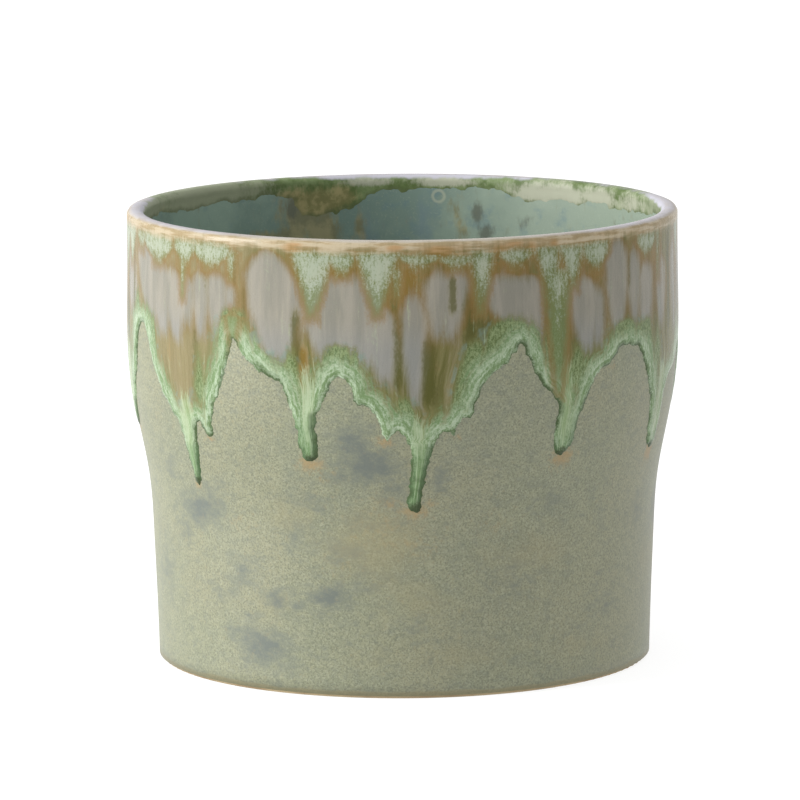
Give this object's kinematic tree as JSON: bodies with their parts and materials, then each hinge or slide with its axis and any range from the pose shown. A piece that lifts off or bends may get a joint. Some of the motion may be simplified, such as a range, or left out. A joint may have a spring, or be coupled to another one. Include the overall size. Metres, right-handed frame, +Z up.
{
  "type": "plant pot",
  "caption": "Round glazed stoneware plant pot with tapered sides, a soft shoulder, an upright collar and thick glaze run down from its lip; holds a potted plant.",
  "frame": {"origin": "centre of the foot, on the surface the pot stands on", "axes": "+Z up along the pot's axis; -Y is the side with the longest run of glaze"},
  "size_m": [0.1598, 0.1598, 0.1306],
  "materials": {
    "clay": "unglazed buff stoneware, fine-grained and matt",
    "sage_glaze": "satin-matt sage green glaze with fine speckle",
    "liner_glaze": "glossy mottled green liner glaze",
    "run_glaze": "glossy running glaze: lavender-grey petals, mint tongues, brown and olive streaks"
  },
  "bodies": {
    "root": {"clay_body": "clay", "outer_glaze": "sage_glaze", "liner_glaze": "liner_glaze", "run_glaze": "run_glaze"}
  },
  "joints": []
}
